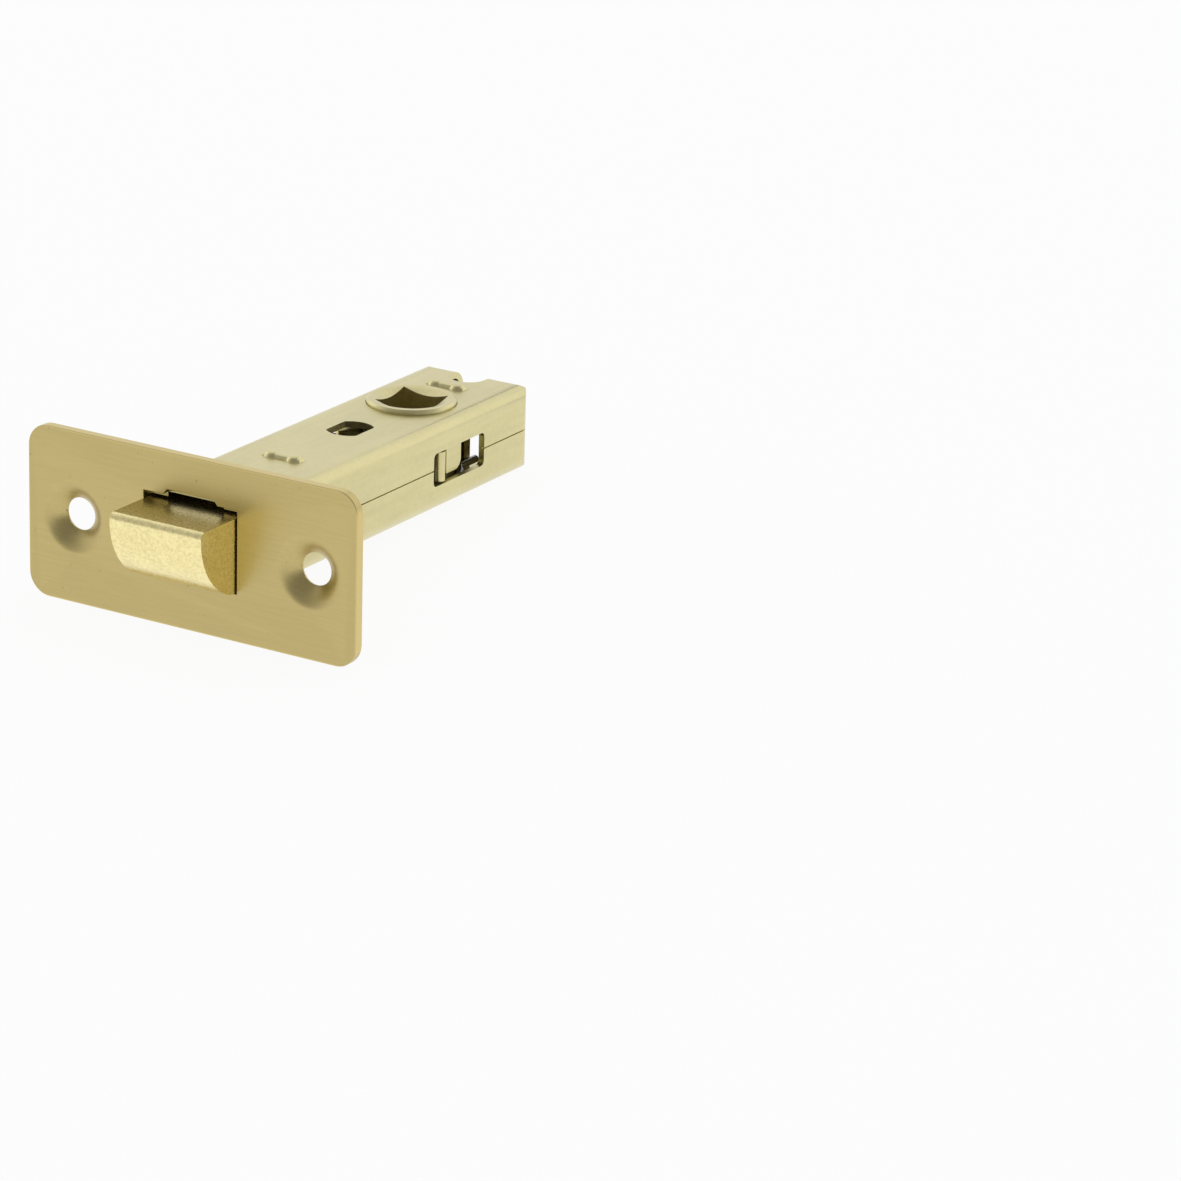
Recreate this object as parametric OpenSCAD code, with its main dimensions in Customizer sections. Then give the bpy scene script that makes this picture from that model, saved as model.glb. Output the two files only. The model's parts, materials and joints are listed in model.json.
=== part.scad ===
// Tubular latch for an interior door, for an 8 mm spindle and bolt-through furniture.
// X runs along the forend, Y into the door, Z along the spindle.
// The origin is the centre of the forend's front face.

/* [Forend] */
// Distance from a screw hole to the end of the forend plate
plate_end = 8; // [7:0.5:11]
// Width of the forend plate
plate_w = 26; // [24:0.5:30]
// Thickness of the forend plate
plate_t = 1.5; // [1.2:0.1:2]
// Radius of the plate's corners
plate_corner_r = 3.5; // [1:0.5:6]
// Distance between the two screw holes
screw_spacing = 41; // [38:0.5:43]
// Diameter of a screw hole
screw_hole_d = 4.9; // [4:0.1:5.2]
// Diameter of the dish round a screw hole
dish_d = 9.6; // [8.8:0.1:10.4]
// Depth of the pressed dish from the front face to its lip
dish_depth = 2.2; // [2.1:0.1:3]
// Gap between the bolt's top face and the edge of the plate above it
bolt_top_gap = 0.95; // [0.3:0.05:1.1]
// Depth of the shallow relief in that edge
relief_depth = 0.65; // [0.3:0.05:1]

/* [Case] */
// Distance from the spindle to the rear end of the case
case_tail = 19; // [18:0.5:26]
// Clearance between the slide's lugs and the sides of the case
side_gap = 0.3; // [0.2:0.05:0.6]
// Thickness of the case
case_h = 13.7; // [13.4:0.1:15]
// Thickness of the pressed sheet
wall = 1; // [0.8:0.05:1.1]
// Radius of the long edges of the case
case_corner_r = 2.6; // [2:0.1:3]
// Radius of the rear corners seen from above
case_rear_r = 3; // [2:0.1:4]
// Distance from the end of an ear of the case to the dish of the screw
ear_gap = 1.85; // [1:0.05:3]
// Depth of the groove along the seam of the two shells
seam_depth = 0.35; // [0.1:0.05:0.6]
// Width of each shell's edge break at the seam
seam_break = 0.1; // [0.05:0.01:0.3]

/* [Fixings] */
// Distance from the forend to the spindle
backset = 57; // [55:0.5:58]
// Distance from the spindle to the front bolt-through hole
fixing_offset = 16.5; // [15:0.5:17]
// Diameter of the bolt-through hole
fixing_d = 7.2; // [6.6:0.1:7.6]
// Width across the hole's two flats
fixing_flats = 5.3; // [5:0.1:5.6]
// Distance from the rear bridge to the front end of the rear notch
notch_gap = 2.4; // [1.5:0.1:3.4]
// Width of the rear notch
notch_w = 5.8; // [5:0.1:6.4]

/* [Follower] */
// Width of the square spindle hole
spindle_w = 8; // [7.6:0.1:8.2]
// Diameter of the follower's journals
journal_d = 13.7; // [13:0.1:13.9]
// Step from a journal to the follower's body between the shells
hub_step = 0.35; // [0.25:0.05:0.5]
// Height of the follower's boss above the case
boss_h = 0.7; // [0.4:0.1:1]
// Running clearance of a journal in its hole
journal_gap = 0.07; // [0.03:0.01:0.1]
// Distance of a finger's nose inside the side of the case
nose_sink = 0.08; // [0:0.02:0.3]
// Thickness of a finger's nose
nose_t = 1.7; // [1.4:0.1:2]
// Clearance between the fingers and the tail above them
finger_gap = 0.5; // [0.3:0.05:0.8]
// Angle of a finger ahead of the spindle's cross line
finger_angle = 32.7; // [32:0.1:34]
// Angle that the follower turns to draw the bolt in
turn = 48; // [44:1:50]

/* [Bolt] */
// Room between the bolt and each side of the case
bolt_side = 0.95; // [0.6:0.05:1.2]
// Play of the bolt between the top and bottom of the case
bolt_play = 0.6; // [0.4:0.05:1]
// Distance that the bolt stands out of the forend
bolt_throw = 8.4; // [7.5:0.1:8.6]
// Depth of the nose inside the forend when the bolt is drawn in
draw_in = 0.4; // [0:0.05:0.5]
// Radius of the curved bevel beyond the bevel's own height
bevel_foot = 0.55; // [0.3:0.05:1.5]
// Radius of the nose between the bevel and the flat face
nose_r = 1.05; // [0.6:0.05:1.5]
// Side clearance of the bolt in the forend
bolt_gap = 0.2; // [0.1:0.05:0.3]
// Length of the bolt behind the forend's front face
bolt_rear = 7.5; // [6.5:0.1:8]
// Diameter of the pin through bolt and tail
pin_d = 2; // [1.5:0.1:2.5]
// Height of the bolt's rear face beyond the diameter of its spring
spring_seat = 1.5; // [1.2:0.1:2]
// Diameter of the bolt spring's wire
spring_wire = 0.9; // [0.7:0.05:1]
// Pitch of the bolt spring's open turns
spring_pitch = 2.7; // [2.6:0.1:3.4]

/* [Works] */
// Distance from the front bolt-through hole to the front bridge
bridge_lead = 18.1; // [17.5:0.1:18.5]
// Distance from a journal of the follower to the rear bridge
rear_bridge_gap = 2.15; // [2:0.05:3]
// Thickness of both bridges
bridge_t = 1.6; // [1.2:0.1:1.8]
// Width of the tabs that are staked through the case
tab_w = 6.8; // [6:0.1:7.4]
// Height of the staked heads above the case
stake_h = 0.7; // [0.4:0.1:1]
// Thickness of the tail's strip
tail_t = 1.2; // [1:0.1:1.3]
// Width of the tail's fork
fork_w = 11; // [10:0.1:12]
// Thickness of the slide's sheet
slide_t = 1.2; // [1:0.1:1.3]
// Thickness of the slide's lugs
lug_t = 1.1; // [0.9:0.05:1.15]
// Length of the slide's lugs
lug_l = 4; // [3:0.1:4.4]
// Diameter of the follower spring's wire
hairpin_wire = 1.2; // [0.9:0.1:1.3]
// Working clearance between the inner pieces
gap = 0.2; // [0.15:0.01:0.25]

/* [Hidden] */
$fn = 72;

fit = 0.05;
over = 1;
seat_gap = 0.3;

hub_d = journal_d + 2 * hub_step;
lug_inner = hub_d / 2 + 0.25;
lug_outer = lug_inner + lug_t;
case_w = 2 * (lug_outer + side_gap + wall);
case_l = backset + case_tail;
inner_w = case_w - 2 * wall;
inner_h = case_h - 2 * wall;
plate_l = screw_spacing + 2 * plate_end;
ear_l = (screw_spacing - dish_d - case_w) / 2 - ear_gap;

bolt_w = inner_w - 2 * bolt_side;
bolt_h = inner_h - bolt_play;
travel = bolt_throw + draw_in;
bevel_r = bolt_h - nose_r + bevel_foot;
bolt_low = -(inner_h / 2 - gap);
bolt_top = bolt_low + bolt_h;
opening_w = bolt_w + 2 * bolt_gap;
opening_low = bolt_low - bolt_gap;
opening_top = bolt_top + bolt_top_gap;
relief_w = 9.4;
relief_slope = 0.7;

dish_lip_w = 0.85;
dish_land = 0.3;

fixing_y = backset - fixing_offset;
bridge_y = fixing_y - bridge_lead;
rear_bridge_y = backset + journal_d / 2 + rear_bridge_gap;
notch_y = rear_bridge_y + bridge_t + notch_gap;
hole_r = journal_d / 2 + journal_gap;
slide_z = inner_h / 2 - 0.45 - slide_t;
tail_z = slide_z - gap - tail_t;
finger_h = 2 * (tail_z - finger_gap);
finger_l = (case_w / 2 - nose_sink - nose_t / 2) / cos(finger_angle);
hub_h = finger_h + 0.6;
window_front = backset - finger_l * sin(finger_angle) - nose_t / 2 - 2.1;
window_rear = backset + finger_l * sin(turn - finger_angle) + nose_t / 2 + 1.55;
window_h = finger_h + 0.6;
window_r = 0.8;

boss_z = case_h / 2 + boss_h;
boss_edge = 0.35;
mouth_r = spindle_w * sqrt(2) / 2;
mouth_depth = mouth_r - spindle_w / 2;

spring_d = bolt_h - spring_seat;
spigot_r = spring_d / 2 - spring_wire - gap;
spigot_l = 2.5;
neck_w = 2 * spigot_r - 1;
pin_y = bolt_rear - 3;
tail_front = pin_y - pin_d - 0.5;

bar_front = bridge_y + bridge_t + seat_gap;
bar_rear = fixing_y - fixing_d / 2 - travel - seat_gap;
slot_w = fixing_flats + 2 * gap;
shoulder_y = fixing_y - 0.6;
hook_front = shoulder_y + gap;
hook_t = 1.1;
joggle_start = bridge_y + bridge_t + 0.4;
joggle_end = bar_rear;
lug_front = backset - finger_l * sin(finger_angle) + 2.45;
lug_low = -2;
lug_corner = 1.6;
rail_rear = lug_front + lug_l + 1.2;

hairpin_r = journal_d / 2 + 0.15 + hairpin_wire / 2;
hairpin_z = 1.65 - inner_h / 2;
post_w = tab_w + 1;
leg_x = post_w / 2 + fit + hairpin_wire / 2;
leg_turn_y = sqrt(pow(hairpin_r + 0.35, 2) - pow(leg_x, 2));
leg_end_y = rear_bridge_y - backset + bridge_t + 0.6;
tongue_w = post_w - 0.6;
tongue_l = journal_d / 2 + 0.85;
tongue_h = 1.4;

module along_y(from, to) {
    translate([0, to, 0]) rotate([90, 0, 0]) linear_extrude(to - from) children();
}

module along_x(from, to) {
    translate([from, 0, 0]) rotate([90, 0, 90]) linear_extrude(to - from) children();
}

module along_z(from, to) {
    translate([0, 0, from]) linear_extrude(to - from) children();
}

module rounded_rect(w, h, r) {
    square([w, h - 2 * r], center = true);
    square([w - 2 * r, h], center = true);
    for (x = [-1, 1], y = [-1, 1]) translate([x * (w / 2 - r), y * (h / 2 - r)]) circle(r);
}

// Cross-section of the case, inset from its outside
module case_section(inset) {
    r = case_corner_r - inset;
    rounded_rect(case_w - 2 * inset, case_h - 2 * inset, r);
}

// Outline from above, open at the front, with rounded rear corners
module case_plan(inset) {
    r = case_rear_r - inset;
    w = case_w - 2 * inset;
    rear = case_l - inset;
    translate([-w / 2, 0]) square([w, rear - r]);
    translate([-w / 2 + r, 0]) square([w - 2 * r, rear]);
    for (x = [-1, 1]) translate([x * (w / 2 - r), rear - r]) circle(r);
}

// Outline from the side, with the rear edges rounded
module case_side(inset) {
    r = case_corner_r - inset;
    h = case_h - 2 * inset;
    rear = case_l - inset;
    translate([0, -h / 2]) square([rear - r, h]);
    translate([0, -h / 2 + r]) square([rear, h - 2 * r]);
    for (z = [-1, 1]) translate([rear - r, z * (h / 2 - r)]) circle(r);
}

module case_block(inset, front) {
    intersection() {
        along_y(front, case_l) case_section(inset);
        along_z(-case_h, case_h) case_plan(inset);
        along_x(-case_w, case_w) case_side(inset);
    }
}

// Flat-sided hole for the front fixing
module fixing_outline() {
    intersection() {
        circle(d = fixing_d);
        square([fixing_flats, fixing_d], center = true);
    }
}

// Round-ended notch, open at the rear, for the second fixing
module notch_outline(grow) {
    r = notch_w / 2 + grow;
    translate([0, notch_y + notch_w / 2]) circle(r);
    translate([-r, notch_y + notch_w / 2]) square([2 * r, case_l]);
}

module window_outline() {
    w = window_rear - window_front;
    translate([window_front + w / 2, 0]) rounded_rect(w, window_h, window_r);
}

// One half of the case, drawn as the upper one
module shell() {
    difference() {
        union() {
            intersection() {
                difference() {
                    case_block(0, plate_t);
                    case_block(wall, 0);
                }
                translate([-case_w, 0, 0]) cube([2 * case_w, 2 * case_l, case_h]);
            }
            for (side = [-1, 1]) ear(side);
        }
        along_z(-over, seam_break) difference() {
            translate([-case_w, plate_t + wall]) square([2 * case_w, 2 * case_l]);
            case_plan(seam_depth);
        }
        translate([0, backset, 0]) cylinder(r = hole_r, h = case_h);
        translate([0, fixing_y, 0]) along_z(0, case_h) fixing_outline();
        along_z(-over, case_h) notch_outline(0);
        for (y = [bridge_y, rear_bridge_y]) {
            translate([-tab_w / 2 - fit, y - fit, 0]) cube([tab_w + 2 * fit, bridge_t + 2 * fit, case_h]);
        }
        along_x(-case_w, case_w) window_outline();
    }
}

// Ear turned out at the front of a shell, welded flat to the back of the forend
module ear(side) {
    ear_low = 1.4;
    ear_high = case_h / 2 - case_corner_r;
    r = (ear_high - ear_low) / 4;
    middle = (ear_high + ear_low) / 2;
    start = case_w / 2 - wall;
    span = wall + ear_l;
    translate([side * (start + span / 2), 0, middle])
        along_y(plate_t, plate_t + wall) rounded_rect(span, ear_high - ear_low, r);
}

module case_shell_top() {
    color("khaki") shell();
}

module case_shell_bottom() {
    color("darkkhaki") mirror([0, 0, 1]) shell();
}

// Hollow of a pressed dish, as a half section turned round its axis
module dish_hollow() {
    land_y = dish_depth - dish_land;
    rotate([-90, 0, 0]) rotate_extrude()
        polygon([[0, -over], [dish_d / 2 + over, -over], [dish_d / 2, 0], [screw_hole_d / 2, land_y], [0, land_y]]);
    rotate([-90, 0, 0]) cylinder(d = screw_hole_d, h = 2 * dish_depth);
}

// Swelling that the dish makes on the back of the plate
module dish_back() {
    lip_r = screw_hole_d / 2 + dish_lip_w;
    rotate([-90, 0, 0]) rotate_extrude()
        polygon([[0, plate_t / 2], [dish_d / 2 - 0.2, plate_t / 2], [dish_d / 2 - 0.4, plate_t], [lip_r, dish_depth], [0, dish_depth]]);
}

module forend_plate() {
    color("goldenrod") difference() {
        union() {
            along_y(0, plate_t) rounded_rect(plate_l, plate_w, plate_corner_r);
            for (x = [-1, 1]) translate([x * screw_spacing / 2, 0, 0]) dish_back();
        }
        for (x = [-1, 1]) translate([x * screw_spacing / 2, 0, 0]) dish_hollow();
        along_y(-over, plate_t + over) opening_outline();
    }
}

// Opening for the bolt, with a shallow relief above its middle
module opening_outline() {
    translate([-opening_w / 2, opening_low]) square([opening_w, opening_top - opening_low]);
    polygon([
        [-relief_w / 2, opening_top - over],
        [relief_w / 2, opening_top - over],
        [relief_w / 2, opening_top],
        [relief_w / 2 - relief_slope, opening_top + relief_depth],
        [-relief_w / 2 + relief_slope, opening_top + relief_depth],
        [-relief_w / 2, opening_top]
    ]);
}

// Staked end of a tab: a bar that two punch marks have spread over its slot
module staked_head(y) {
    middle = y + bridge_t / 2;
    root = case_h / 2 - wall - over;
    translate([-tab_w / 2, y, root]) cube([tab_w, bridge_t, case_h / 2 + stake_h - root]);
    for (x = [-1, 1]) translate([x * tab_w / 3, middle, case_h / 2]) cylinder(r = bridge_t * 0.72, h = stake_h);
}

module front_bridge() {
    color("silver") {
        difference() {
            along_y(bridge_y, bridge_y + bridge_t) case_section(wall + fit);
            translate([-neck_w / 2 - gap, bridge_y - over, -tail_t / 2 - gap])
                cube([neck_w + 2 * gap, bridge_t + 2 * over, tail_t + 2 * gap]);
        }
        for (z = [0, 1]) mirror([0, 0, z]) staked_head(bridge_y);
    }
}

module rear_bridge() {
    color("silver") {
        translate([-post_w / 2, rear_bridge_y, -inner_h / 2]) cube([post_w, bridge_t, inner_h]);
        for (z = [0, 1]) mirror([0, 0, z]) staked_head(rear_bridge_y);
    }
}

// Side view of the bolt: flat top, rounded nose and convex bevel
module bolt_profile() {
    bevel_z = bolt_top - nose_r;
    bevel_y = bevel_r - bolt_throw;
    translate([bevel_y, bolt_low]) square([bolt_rear - bevel_y, bolt_h]);
    translate([nose_r - bolt_throw, bevel_z]) square([bolt_throw - nose_r + bolt_rear, nose_r]);
    translate([nose_r - bolt_throw, bevel_z]) circle(nose_r);
    intersection() {
        translate([bevel_y, bevel_z]) circle(bevel_r, $fn = 180);
        translate([-bolt_throw, bolt_low]) square([bolt_throw + bevel_y, bevel_z - bolt_low]);
    }
}

module latch_bolt() {
    color("gold") difference() {
        union() {
            along_x(-bolt_w / 2, bolt_w / 2) bolt_profile();
            translate([0, bolt_rear - over, 0]) rotate([-90, 0, 0]) cylinder(r = spigot_r, h = spigot_l + over);
        }
        translate([-neck_w / 2 - fit, tail_front - fit, -tail_t / 2 - fit])
            cube([neck_w + 2 * fit, bolt_rear + spigot_l, tail_t + 2 * fit]);
        translate([0, pin_y, bolt_low - over]) cylinder(d = pin_d + 2 * fit, h = bolt_h + 2 * over);
    }
}

module tail_pin() {
    color("dimgray") translate([0, pin_y, bolt_low + gap]) cylinder(d = pin_d, h = bolt_h - 2 * gap);
}

// Tail from above: a neck, then a fork with an open middle
module tail_plan() {
    difference() {
        union() {
            translate([-neck_w / 2, tail_front]) square([neck_w, joggle_start - tail_front]);
            translate([-fork_w / 2, joggle_start]) square([fork_w, hook_front + hook_t - joggle_start]);
        }
        translate([-slot_w / 2, joggle_end]) square([slot_w, case_l]);
    }
}

// Tail from the side: neck, joggle, raised fork and turned-up hooks
module tail_side() {
    half = tail_t / 2;
    rise = tail_z + tail_t;
    end = hook_front + hook_t;
    polygon([
        [tail_front, -half],
        [joggle_start + half, -half],
        [joggle_end + half, tail_z],
        [end, tail_z],
        [end, slide_z + slide_t],
        [hook_front, slide_z + slide_t],
        [hook_front, rise],
        [joggle_end - half, rise],
        [joggle_start, half],
        [tail_front, half]
    ]);
}

module bolt_tail() {
    color("lightsteelblue") difference() {
        intersection() {
            along_z(-inner_h / 2, inner_h / 2) tail_plan();
            along_x(-fork_w / 2, fork_w / 2) tail_side();
        }
        translate([0, pin_y, -tail_t]) cylinder(d = pin_d + 2 * fit, h = 2 * tail_t);
    }
}

// Slide from above: front bar, two arms along the fork and two rails beside the hub
module slide_plan() {
    rail_w = 2 * lug_outer - 1.2;
    rail_inner = journal_d / 2 + gap;
    difference() {
        union() {
            translate([-rail_w / 2, bar_front]) square([rail_w, lug_front - bar_front]);
            translate([-lug_outer, lug_front]) square([2 * lug_outer, rail_rear - lug_front]);
        }
        translate([-slot_w / 2, bar_rear]) square([slot_w, case_l]);
        translate([-rail_inner, shoulder_y]) square([2 * rail_inner, case_l]);
    }
}

// Lug from the side, with its lower rear corner rounded
module lug_side() {
    top = slide_z + slide_t;
    rear = lug_front + lug_l;
    difference() {
        translate([lug_front, lug_low]) square([lug_l, top - lug_low]);
        translate([rear - lug_corner, lug_low]) difference() {
            translate([0, -over]) square([lug_corner + over, lug_corner + over]);
            translate([0, lug_corner]) circle(lug_corner);
        }
    }
}

module slide_plate() {
    color("slategray") intersection() {
        union() {
            along_z(slide_z, slide_z + slide_t) slide_plan();
            along_x(lug_inner, lug_outer) lug_side();
            along_x(-lug_outer, -lug_inner) lug_side();
        }
        along_y(0, case_l) case_section(wall + gap + fit);
    }
}

// Finger from above: tapers from the hub to a round nose
module finger_outline() {
    r = nose_t / 2;
    root = 2.4;
    circle(r = root);
    translate([finger_l, 0]) circle(r = r);
    lean = asin((root - r) / finger_l);
    polygon([
        [root * sin(lean), root * cos(lean)],
        [finger_l + r * sin(lean), r * cos(lean)],
        [finger_l + r * sin(lean), -r * cos(lean)],
        [root * sin(lean), -root * cos(lean)]
    ]);
}

module journal() {
    r = journal_d / 2;
    rotate_extrude() polygon([
        [0, 0],
        [r, 0],
        [r, boss_z - boss_edge],
        [r - boss_edge, boss_z],
        [0, boss_z]
    ]);
}

module mouth() {
    translate([0, 0, boss_z - mouth_depth]) cylinder(r1 = mouth_r - mouth_depth, r2 = mouth_r, h = mouth_depth);
    translate([0, 0, boss_z]) cylinder(r = mouth_r, h = over);
}

module follower() {
    color("tan") translate([0, backset, 0]) difference() {
        union() {
            translate([0, 0, -hub_h / 2]) cylinder(d = hub_d, h = hub_h);
            for (z = [0, 1]) mirror([0, 0, z]) journal();
            rotate([0, 0, -finger_angle]) along_z(-finger_h / 2, finger_h / 2) finger_outline();
            rotate([0, 0, 180 + finger_angle]) along_z(-finger_h / 2, finger_h / 2) finger_outline();
            translate([-tongue_w / 2, 0, hairpin_z - tongue_h / 2]) cube([tongue_w, tongue_l, tongue_h]);
        }
        translate([-spindle_w / 2, -spindle_w / 2, -case_h]) cube([spindle_w, spindle_w, 2 * case_h]);
        for (z = [0, 1]) mirror([0, 0, z]) mouth();
    }
}

// Angle at which a leg leaves the hairpin's bow
leg_far = norm([leg_x, leg_turn_y]);
leg_angle = atan2(leg_turn_y, leg_x) - acos(min(1, hairpin_r / leg_far));

wire_sides = 8;

// Faces of a tube made of n + 1 rings of points
module tube(points, n) {
    sides = [for (i = [0:n - 1], k = [0:wire_sides - 1])
        let (a = i * wire_sides, next = (k + 1) % wire_sides)
        [a + k, a + next, a + next + wire_sides, a + k + wire_sides]];
    first = [for (k = [wire_sides - 1:-1:0]) k];
    last = [for (k = [0:wire_sides - 1]) n * wire_sides + k];
    polyhedron(points, concat(sides, [first, last]), convexity = 10);
}

// Centre line of the hairpin: a leg, the bow round the journal and the other leg
bow_steps = 40;
bow_sweep = 180 + 2 * leg_angle;
hairpin_line = concat(
    [[leg_x, leg_end_y], [leg_x, leg_turn_y]],
    [for (i = [0:bow_steps]) let (a = leg_angle - i / bow_steps * bow_sweep) hairpin_r * [cos(a), sin(a)]],
    [[-leg_x, leg_turn_y], [-leg_x, leg_end_y]]
);

function hairpin_point(i, k) =
    let (last = len(hairpin_line) - 1, p = hairpin_line[i])
    let (d = hairpin_line[min(i + 1, last)] - hairpin_line[max(i - 1, 0)], t = d / norm(d))
    let (r = hairpin_wire / 2, b = 360 * k / wire_sides)
    [p[0] + t[1] * r * cos(b), backset + p[1] - t[0] * r * cos(b), hairpin_z + r * sin(b)];

// Bow round the journal, with a leg each side of the follower's tongue and the rear bridge
module follower_spring() {
    n = len(hairpin_line) - 1;
    points = [for (i = [0:n], k = [0:wire_sides - 1]) hairpin_point(i, k)];
    color("gray") tube(points, n);
}

// Coil of the bolt spring: both end turns lie closed, the rest share the length
spring_front = bolt_rear + fit;
spring_back = bridge_y - fit;
coil_r = (spring_d - spring_wire) / 2;
coil_steps = 20;
closed = 1;
free_l = spring_back - spring_front - spring_wire;
open_l = free_l - 2 * closed * spring_wire;
open_turns = round(coil_steps * open_l / spring_pitch) / coil_steps;
spring_turns = open_turns + 2 * closed;

function coil_y(t) =
    t < closed ? t * spring_wire :
    t > spring_turns - closed ? free_l - (spring_turns - t) * spring_wire :
    closed * spring_wire + (t - closed) / open_turns * open_l;

function coil_point(i, k) =
    let (t = i / coil_steps, a = 360 * t, b = 360 * k / wire_sides)
    let (r = coil_r + spring_wire / 2 * cos(b))
    [r * cos(a), spring_front + spring_wire / 2 + coil_y(t) + spring_wire / 2 * sin(b), r * sin(a)];

module bolt_spring() {
    n = spring_turns * coil_steps;
    points = [for (i = [0:n], k = [0:wire_sides - 1]) coil_point(i, k)];
    color("silver") tube(points, n);
}

forend_plate();
case_shell_top();
case_shell_bottom();
front_bridge();
rear_bridge();
latch_bolt();
bolt_tail();
tail_pin();
bolt_spring();
slide_plate();
follower();
follower_spring();
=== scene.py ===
"""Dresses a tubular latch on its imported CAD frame: brass forend, plated case, bolt and works."""

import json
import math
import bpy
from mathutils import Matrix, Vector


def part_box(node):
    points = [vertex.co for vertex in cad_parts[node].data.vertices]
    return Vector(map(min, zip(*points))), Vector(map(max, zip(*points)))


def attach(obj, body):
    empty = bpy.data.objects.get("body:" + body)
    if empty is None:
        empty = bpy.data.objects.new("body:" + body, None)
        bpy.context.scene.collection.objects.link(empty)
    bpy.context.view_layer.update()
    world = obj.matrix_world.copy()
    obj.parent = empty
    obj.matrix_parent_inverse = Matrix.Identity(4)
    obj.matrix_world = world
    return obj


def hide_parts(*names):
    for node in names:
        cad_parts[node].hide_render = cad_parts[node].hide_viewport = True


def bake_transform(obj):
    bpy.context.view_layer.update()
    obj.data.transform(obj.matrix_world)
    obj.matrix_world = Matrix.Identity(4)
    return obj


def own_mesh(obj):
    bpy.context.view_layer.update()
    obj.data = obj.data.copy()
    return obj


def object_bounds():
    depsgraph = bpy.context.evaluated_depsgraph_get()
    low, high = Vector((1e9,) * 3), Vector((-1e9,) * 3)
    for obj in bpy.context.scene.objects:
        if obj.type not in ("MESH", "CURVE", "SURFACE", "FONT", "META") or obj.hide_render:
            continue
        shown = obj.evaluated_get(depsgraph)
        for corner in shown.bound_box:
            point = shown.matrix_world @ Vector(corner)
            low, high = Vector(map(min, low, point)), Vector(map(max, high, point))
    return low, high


bl_info = {
    "name": "Tubular Latch",
    "version": (1, 0, 0),
    "blender": (4, 5, 0),
    "location": "View3D > Sidebar > Latch",
    "description": "Builds the looks of a tubular latch around its CAD frame",
    "category": "Object",
}

import bmesh
import bpy
import numpy as np
from bpy.props import FloatProperty, FloatVectorProperty, IntProperty, PointerProperty
from mathutils import Matrix, Vector

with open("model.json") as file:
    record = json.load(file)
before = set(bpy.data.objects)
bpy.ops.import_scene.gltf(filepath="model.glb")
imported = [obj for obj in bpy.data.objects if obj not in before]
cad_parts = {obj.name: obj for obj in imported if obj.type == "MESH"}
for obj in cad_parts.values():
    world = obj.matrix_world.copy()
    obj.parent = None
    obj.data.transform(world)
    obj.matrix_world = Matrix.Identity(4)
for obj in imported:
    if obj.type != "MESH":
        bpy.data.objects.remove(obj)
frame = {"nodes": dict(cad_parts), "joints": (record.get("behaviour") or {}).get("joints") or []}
CAD_LOW, CAD_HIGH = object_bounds()

MM = 0.001

# Camera, floor and lamps
SENSOR = 36.0
CLIP = (0.01, 20.0)
WHITE = (1.0, 1.0, 1.0, 1.0)
DIM_RISE = 0.6
DIM_FRONT = 0.7
DIM_SIDE = 0.35
FLOOR_GAP = 0.1 * MM
FLOOR_FRONT = 30 * MM
FLOOR_REAR = 20 * MM
RAMP_FRONT = 20 * MM
RAMP_REAR = 10 * MM
FLOOR_STEPS = 60
FLOOR_GRAIN = (9.0, 9.0, 9.0)
FLOOR_TINTS = ((0.86, 0.86, 0.86, 1.0), (0.9, 0.9, 0.9, 1.0))
BACK_PLACE = (0.3, 0.75, 0.46)
BACK_SIZE = 0.7
SIDE_PLACE = (-0.8, 0.1, 0.35)
SIDE_SIZE = 0.5

# Patterns of the finishes, in cycles per metre, and how far they reach
PLATE_CLOUD = (70.0, 70.0, 70.0)
PLATE_PITS = (1300.0, 1300.0, 1300.0)
CASE_CLOUD = (110.0, 60.0, 110.0)
BOLT_CLOUD = (260.0, 260.0, 260.0)
WORKS_CLOUD = (180.0, 180.0, 180.0)
CONTRAST = (0.35, 0.65)
SOFT_CONTRAST = (0.3, 0.7)
PIT_START = 0.7
PIT_END = 0.78
# Painted highlight along the forend's outer edge: how far in it starts, and where it is full
EDGE_HIGHLIGHT_START = 0.35 * MM
EDGE_HIGHLIGHT_FULL = 0.05 * MM

# Merging and creases
WELD = 1e-6
CLOSE = 0.02 * MM
CREASE = math.radians(32)
COPLANAR = math.radians(0.4)

# Forend: steps of a dish, the opening's upper edge and how far it is raised
DISH_STEPS = 14
OPENING_HALF = 9 * MM
OPENING_LOW = 5 * MM
OPENING_HIGH = 9 * MM
OPENING_RISE = 0.2 * MM
RELIEF_RISE = 0.35 * MM

# Case: the ceiling behind the relief, and the staked heads
NOTCH_HALF = 4.85 * MM
NOTCH_REAR = 3.9 * MM
NOTCH_DEPTH = 1.05 * MM
NOTCH_SKIN = 0.25 * MM
DOME_PLACE = 1.95 * MM
DOME_RADIUS = 1.25 * MM
BAR_HALF = 0.85 * MM
HEAD_HALF = 3.4 * MM
HEAD_ROWS = 97
HEAD_COLUMNS = 33

# Follower's mouths and its hairpin spring
MOUTH_LIMIT = 5.7 * MM
MOUTH_DEPTH = 1.7 * MM
MOUTH_SHARE = 0.45
LEG_SPREAD = 4.55 * MM
BOW_RELIEF = 0.35 * MM


# Sizes read from the frame


def box_of(node):
    """Lowest and highest corner of a CAD node as numpy arrays, in metres."""
    low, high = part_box(node)
    return np.array(low), np.array(high)


def joint_limit(name):
    """Upper limit of a sliding joint, in metres."""
    return next(joint["range_m"][1] for joint in frame["joints"] if joint["name"] == name)


def hinge_centre(name):
    """Place of a hinge, in metres."""
    return next(joint["pos_m"] for joint in frame["joints"] if joint["name"] == name)


def linear(red, green, blue):
    """Linear colour of 8-bit display values."""
    shares = np.array([red, green, blue]) / 255
    curved = ((shares + 0.055) / 1.055) ** 2.4
    return tuple(float(v) for v in np.where(shares <= 0.04045, shares / 12.92, curved))


# User settings


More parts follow.
